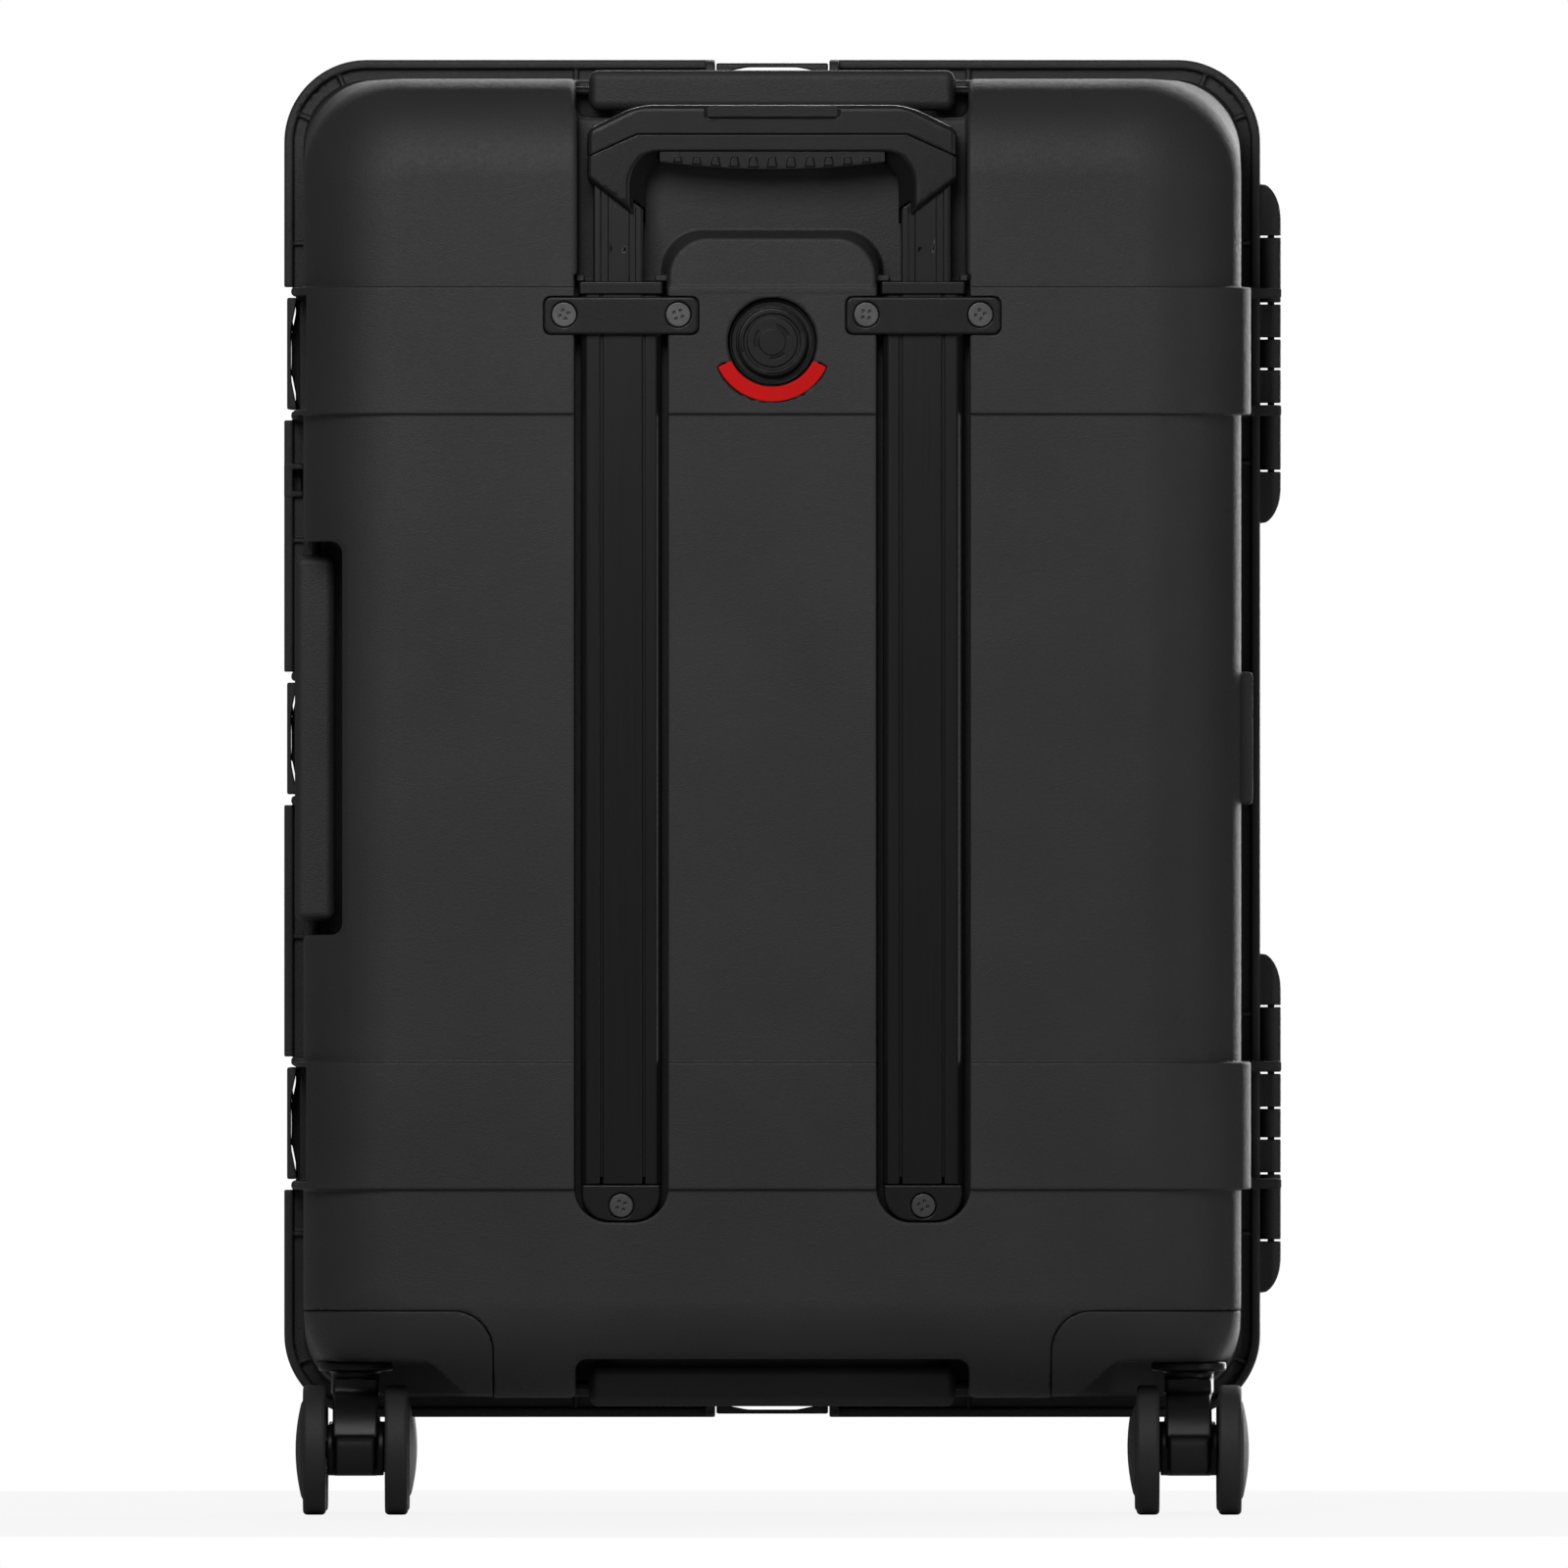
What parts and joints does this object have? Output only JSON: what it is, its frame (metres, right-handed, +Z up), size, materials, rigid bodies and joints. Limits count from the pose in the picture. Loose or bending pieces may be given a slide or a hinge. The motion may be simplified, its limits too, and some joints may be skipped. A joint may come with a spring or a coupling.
{
  "type": "hard equipment case",
  "caption": "Upright hard-shell equipment case on swivel casters, with a hinged lid, draw latches, swing handles, a pressure valve and a telescopic pull handle.",
  "frame": {"origin": "centre of the footprint on the floor, under the middle of the case's bounding box", "axes": "+Z up; the rear shell with the pull handle faces -Y and the lid faces +Y; the hinges are at +X and the latches at -X"},
  "size_m": [0.5086, 0.2986, 0.741],
  "materials": {
    "shell_plastic": "fine moulded texture, matte",
    "trim_plastic": "fine moulded texture, satin",
    "rail_aluminium": "black anodised, satin",
    "steel": "dark coated",
    "badge_plastic": "gloss red",
    "seal_rubber": "matte",
    "tyre_rubber": "matte"
  },
  "bodies": {
    "case": {"rear_shell": "shell_plastic", "hinge_pin_upper": "steel", "hinge_pin_lower": "steel", "rail_left": "rail_aluminium", "rail_clamp_left": "trim_plastic", "rail_cap_left": "trim_plastic", "rail_right": "rail_aluminium", "rail_clamp_right": "trim_plastic", "rail_cap_right": "trim_plastic", "clamp_screw_left_inner": "steel", "clamp_screw_left_outer": "steel", "clamp_screw_right_inner": "steel", "clamp_screw_right_outer": "steel", "cap_screw_left": "steel", "cap_screw_right": "steel", "valve_body": "trim_plastic", "valve_cap": "trim_plastic", "valve_badge": "badge_plastic", "handle_rod_side": "steel", "handle_rod_top": "steel", "handle_rod_bottom": "steel", "caster_housing_rear_left": "shell_plastic", "caster_housing_rear_right": "shell_plastic"},
    "lid": {"lid_shell": "shell_plastic", "lid_seal": "seal_rubber", "latch_pin_side_upper": "steel", "latch_pin_side_middle": "steel", "latch_pin_side_lower": "steel", "latch_pin_top": "steel", "latch_pin_bottom": "steel", "caster_housing_front_left": "shell_plastic", "caster_housing_front_right": "shell_plastic"},
    "middle_stage": {"mid_tube_left": "rail_aluminium", "mid_tube_right": "rail_aluminium"},
    "grip_stage": {"inner_tube_left": "rail_aluminium", "inner_tube_right": "rail_aluminium", "grip_cover": "trim_plastic", "grip_frame": "trim_plastic"},
    "release": {"release_bar": "trim_plastic"},
    "side_handle": {"handle_side": "shell_plastic"},
    "top_handle": {"handle_top": "shell_plastic"},
    "bottom_handle": {"handle_bottom": "shell_plastic"},
    "side_upper_latch": {"latch_side_upper": "shell_plastic"},
    "side_middle_latch": {"latch_side_middle": "shell_plastic"},
    "side_lower_latch": {"latch_side_lower": "shell_plastic"},
    "top_latch": {"latch_top": "shell_plastic"},
    "bottom_latch": {"latch_bottom": "shell_plastic"},
    "rear_left_fork": {"caster_fork_rear_left": "trim_plastic"},
    "rear_left_left_wheel": {"wheel_rear_left_left": "tyre_rubber"},
    "rear_left_right_wheel": {"wheel_rear_left_right": "tyre_rubber"},
    "rear_right_fork": {"caster_fork_rear_right": "trim_plastic"},
    "rear_right_left_wheel": {"wheel_rear_right_left": "tyre_rubber"},
    "rear_right_right_wheel": {"wheel_rear_right_right": "tyre_rubber"},
    "front_left_fork": {"caster_fork_front_left": "trim_plastic"},
    "front_left_left_wheel": {"wheel_front_left_left": "tyre_rubber"},
    "front_left_right_wheel": {"wheel_front_left_right": "tyre_rubber"},
    "front_right_fork": {"caster_fork_front_right": "trim_plastic"},
    "front_right_left_wheel": {"wheel_front_right_left": "tyre_rubber"},
    "front_right_right_wheel": {"wheel_front_right_right": "tyre_rubber"}
  },
  "joints": [
    {"name": "lid_hinge", "type": "hinge", "parent": "case", "child": "lid", "pos_m": [0.24893, 0.0133, 0.395], "axis": [0, 0, -1], "range_deg": [0, 105]},
    {"name": "middle_stage_slide", "type": "slide", "parent": "case", "child": "middle_stage", "axis": [0, 0, 1], "range_m": [0, 0.2]},
    {"name": "grip_stage_slide", "type": "slide", "parent": "middle_stage", "child": "grip_stage", "axis": [0, 0, 1], "range_m": [0, 0.2]},
    {"name": "release_press", "type": "slide", "parent": "grip_stage", "child": "release", "axis": [0, 0, 1], "range_m": [0, 0.003], "stiffness_N_per_m": 800, "springref_m": -0.004},
    {"name": "side_handle_hinge", "type": "hinge", "parent": "case", "child": "side_handle", "pos_m": [-0.23808, -0.0387, 0.395], "axis": [0, 0, -1], "range_deg": [0, 90], "stiffness_Nm_per_rad": 0.05, "springref_deg": -85.94},
    {"name": "top_handle_hinge", "type": "hinge", "parent": "case", "child": "top_handle", "pos_m": [-0.00558, -0.0387, 0.7245], "axis": [-1, 0, 0], "range_deg": [0, 90], "stiffness_Nm_per_rad": 0.05, "springref_deg": -85.94},
    {"name": "bottom_handle_hinge", "type": "hinge", "parent": "case", "child": "bottom_handle", "pos_m": [-0.00558, -0.0387, 0.0655], "axis": [1, 0, 0], "range_deg": [0, 90], "stiffness_Nm_per_rad": 0.05, "springref_deg": -85.94},
    {"name": "side_upper_latch_hinge", "type": "hinge", "parent": "lid", "child": "side_upper_latch", "pos_m": [-0.24507, 0.0453, 0.5913], "axis": [0, 0, -1], "range_deg": [0, 95]},
    {"name": "side_middle_latch_hinge", "type": "hinge", "parent": "lid", "child": "side_middle_latch", "pos_m": [-0.24507, 0.0453, 0.395], "axis": [0, 0, -1], "range_deg": [0, 95]},
    {"name": "side_lower_latch_hinge", "type": "hinge", "parent": "lid", "child": "side_lower_latch", "pos_m": [-0.24507, 0.0453, 0.1987], "axis": [0, 0, -1], "range_deg": [0, 95]},
    {"name": "top_latch_hinge", "type": "hinge", "parent": "lid", "child": "top_latch", "pos_m": [-0.00558, 0.0453, 0.7315], "axis": [-1, 0, 0], "range_deg": [0, 95]},
    {"name": "bottom_latch_hinge", "type": "hinge", "parent": "lid", "child": "bottom_latch", "pos_m": [-0.00558, 0.0453, 0.0585], "axis": [1, 0, 0], "range_deg": [0, 95]},
    {"name": "rear_left_swivel", "type": "hinge", "parent": "case", "child": "rear_left_fork", "pos_m": [-0.21757, -0.0867, 0.078], "axis": [0, 0, 1], "continuous": true},
    {"name": "rear_left_left_wheel_spin", "type": "hinge", "parent": "rear_left_fork", "child": "rear_left_left_wheel", "pos_m": [-0.23858, -0.1027, 0.033], "axis": [1, 0, 0], "continuous": true},
    {"name": "rear_left_right_wheel_spin", "type": "hinge", "parent": "rear_left_fork", "child": "rear_left_right_wheel", "pos_m": [-0.19657, -0.1027, 0.033], "axis": [1, 0, 0], "continuous": true},
    {"name": "rear_right_swivel", "type": "hinge", "parent": "case", "child": "rear_right_fork", "pos_m": [0.20642, -0.0867, 0.078], "axis": [0, 0, 1], "continuous": true},
    {"name": "rear_right_left_wheel_spin", "type": "hinge", "parent": "rear_right_fork", "child": "rear_right_left_wheel", "pos_m": [0.18543, -0.1027, 0.033], "axis": [1, 0, 0], "continuous": true},
    {"name": "rear_right_right_wheel_spin", "type": "hinge", "parent": "rear_right_fork", "child": "rear_right_right_wheel", "pos_m": [0.22742, -0.1027, 0.033], "axis": [1, 0, 0], "continuous": true},
    {"name": "front_left_swivel", "type": "hinge", "parent": "lid", "child": "front_left_fork", "pos_m": [-0.21757, 0.0893, 0.078], "axis": [0, 0, 1], "continuous": true},
    {"name": "front_left_left_wheel_spin", "type": "hinge", "parent": "front_left_fork", "child": "front_left_left_wheel", "pos_m": [-0.23858, 0.0733, 0.033], "axis": [1, 0, 0], "continuous": true},
    {"name": "front_left_right_wheel_spin", "type": "hinge", "parent": "front_left_fork", "child": "front_left_right_wheel", "pos_m": [-0.19657, 0.0733, 0.033], "axis": [1, 0, 0], "continuous": true},
    {"name": "front_right_swivel", "type": "hinge", "parent": "lid", "child": "front_right_fork", "pos_m": [0.20642, 0.0893, 0.078], "axis": [0, 0, 1], "continuous": true},
    {"name": "front_right_left_wheel_spin", "type": "hinge", "parent": "front_right_fork", "child": "front_right_left_wheel", "pos_m": [0.18543, 0.0733, 0.033], "axis": [1, 0, 0], "continuous": true},
    {"name": "front_right_right_wheel_spin", "type": "hinge", "parent": "front_right_fork", "child": "front_right_right_wheel", "pos_m": [0.22742, 0.0733, 0.033], "axis": [1, 0, 0], "continuous": true}
  ]
}
